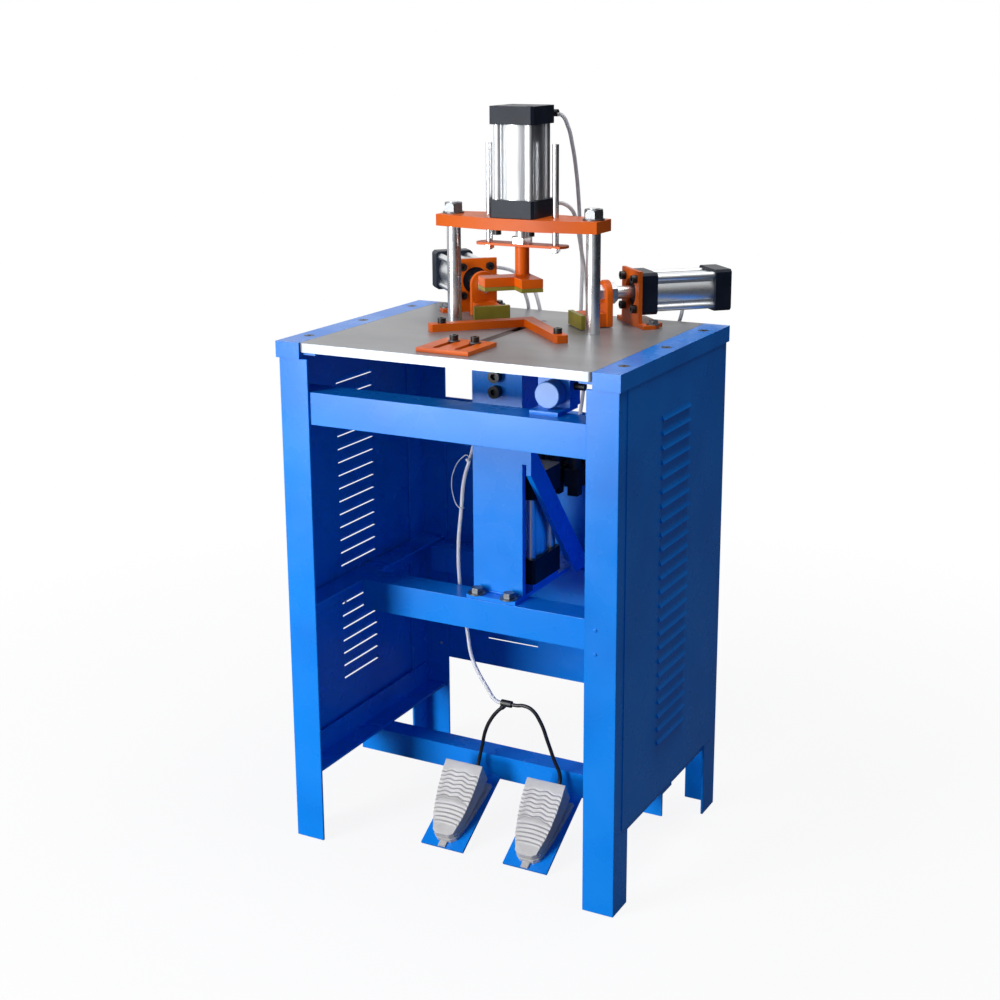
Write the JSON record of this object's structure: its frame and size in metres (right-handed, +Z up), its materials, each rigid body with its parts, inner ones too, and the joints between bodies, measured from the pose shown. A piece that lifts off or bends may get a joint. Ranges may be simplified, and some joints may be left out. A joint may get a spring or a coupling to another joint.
{
  "type": "picture frame underpinner",
  "caption": "Pneumatic bench on an angle-iron stand that holds a mitred picture frame corner against a V fence with a press foot and side clamps and drives V nails up into it.",
  "frame": {"origin": "on the floor, under the centre of the stand", "axes": "+Z up, +Y from the operator's side to the back, +X to the operator's right"},
  "size_m": [0.566, 0.5128, 1.148],
  "materials": {
    "blue_paint": "gloss powder coat",
    "orange_paint": "satin powder coat",
    "grey_laminate": "grey streaked laminate",
    "black_anodised": "black anodised",
    "satin_aluminium": "drawn, satin anodised",
    "chromed_steel": "hard chromed, polished",
    "zinc_steel": "zinc plated",
    "black_steel": "blackened steel",
    "tool_steel": "ground tool steel",
    "olive_urethane": "cast urethane, matt",
    "cast_grey": "light grey painted die casting",
    "white_tube": "smooth flexible tube",
    "black_rubber": "matt rubber",
    "black_plastic": "matt moulded",
    "blue_plastic": "gloss moulded"
  },
  "bodies": {
    "bench": {"top_rails": "blue_paint", "front_left_leg": "blue_paint", "front_right_leg": "blue_paint", "rear_left_leg": "blue_paint", "rear_right_leg": "blue_paint", "crossbars": "blue_paint", "left_panel": "blue_paint", "right_panel": "blue_paint", "rear_panel": "blue_paint", "side_rails": "blue_paint", "pedal_bar": "blue_paint", "worktop": "grey_laminate", "column": "blue_paint", "black_screws": "black_steel", "hex_fasteners": "zinc_steel", "pillars": "chromed_steel", "beam": "orange_paint", "press_caps": "black_anodised", "press_barrel": "satin_aluminium", "left_clamp_bracket": "orange_paint", "left_clamp_caps": "black_anodised", "left_clamp_barrel": "satin_aluminium", "right_clamp_bracket": "orange_paint", "right_clamp_caps": "black_anodised", "right_clamp_barrel": "satin_aluminium", "driver_caps": "black_anodised", "driver_barrel": "satin_aluminium", "ram_guide": "blue_paint", "corner_fence": "orange_paint", "pedal_bases": "cast_grey", "control_cable": "white_tube", "cable_junction": "black_rubber", "left_lead": "black_rubber", "right_lead": "black_rubber", "press_top_hose": "white_tube", "press_bottom_hose": "white_tube", "left_hose_a": "white_tube", "left_hose_b": "white_tube", "right_hose": "white_tube", "valve_manifold": "black_plastic", "air_fittings": "black_plastic", "air_regulator": "blue_paint"},
    "press_ram": {"press_rod": "chromed_steel", "guide_strip": "orange_paint", "guide_rods": "chromed_steel", "press_foot": "orange_paint", "press_pad": "olive_urethane"},
    "left_clamp": {"left_clamp_rod": "chromed_steel", "left_jaw": "orange_paint", "left_jaw_pad": "olive_urethane"},
    "right_clamp": {"right_clamp_rod": "chromed_steel", "right_jaw": "orange_paint", "right_jaw_pad": "olive_urethane"},
    "nail_driver": {"driver_rod": "chromed_steel", "ram": "tool_steel"},
    "nail_feed": {"slotted_plate": "orange_paint", "feed_strip": "black_steel"},
    "left_pedal": {"left_treadle": "cast_grey"},
    "right_pedal": {"right_treadle": "cast_grey"},
    "pressure_knob": {"regulator_knob": "blue_plastic"}
  },
  "joints": [
    {"name": "press_stroke", "type": "slide", "parent": "bench", "child": "press_ram", "axis": [0, 0, -1], "range_m": [0, 0.048]},
    {"name": "left_clamp_stroke", "type": "slide", "parent": "bench", "child": "left_clamp", "axis": [0.7071, -0.7071, 0], "range_m": [0, 0.048]},
    {"name": "right_clamp_stroke", "type": "slide", "parent": "bench", "child": "right_clamp", "axis": [-0.7071, -0.7071, 0], "range_m": [0, 0.048]},
    {"name": "nail_stroke", "type": "slide", "parent": "bench", "child": "nail_driver", "axis": [0, 0, 1], "range_m": [0, 0.03]},
    {"name": "feed_stroke", "type": "slide", "parent": "bench", "child": "nail_feed", "axis": [0, 1, 0], "range_m": [0, 0.02]},
    {"name": "left_pedal_hinge", "type": "hinge", "parent": "bench", "child": "left_pedal", "pos_m": [-0.047, -0.1283, 0.02546], "axis": [-1, 0, 0], "range_deg": [0, 8], "stiffness_Nm_per_rad": 4, "springref_deg": -8.59},
    {"name": "right_pedal_hinge", "type": "hinge", "parent": "bench", "child": "right_pedal", "pos_m": [0.1, -0.1283, 0.02546], "axis": [-1, 0, 0], "range_deg": [0, 8], "stiffness_Nm_per_rad": 4, "springref_deg": -8.59},
    {"name": "pressure_knob_turn", "type": "hinge", "parent": "bench", "child": "pressure_knob", "pos_m": [0.152, -0.161, 0.762], "axis": [0, 1, 0], "range_deg": [-180, 180]}
  ]
}
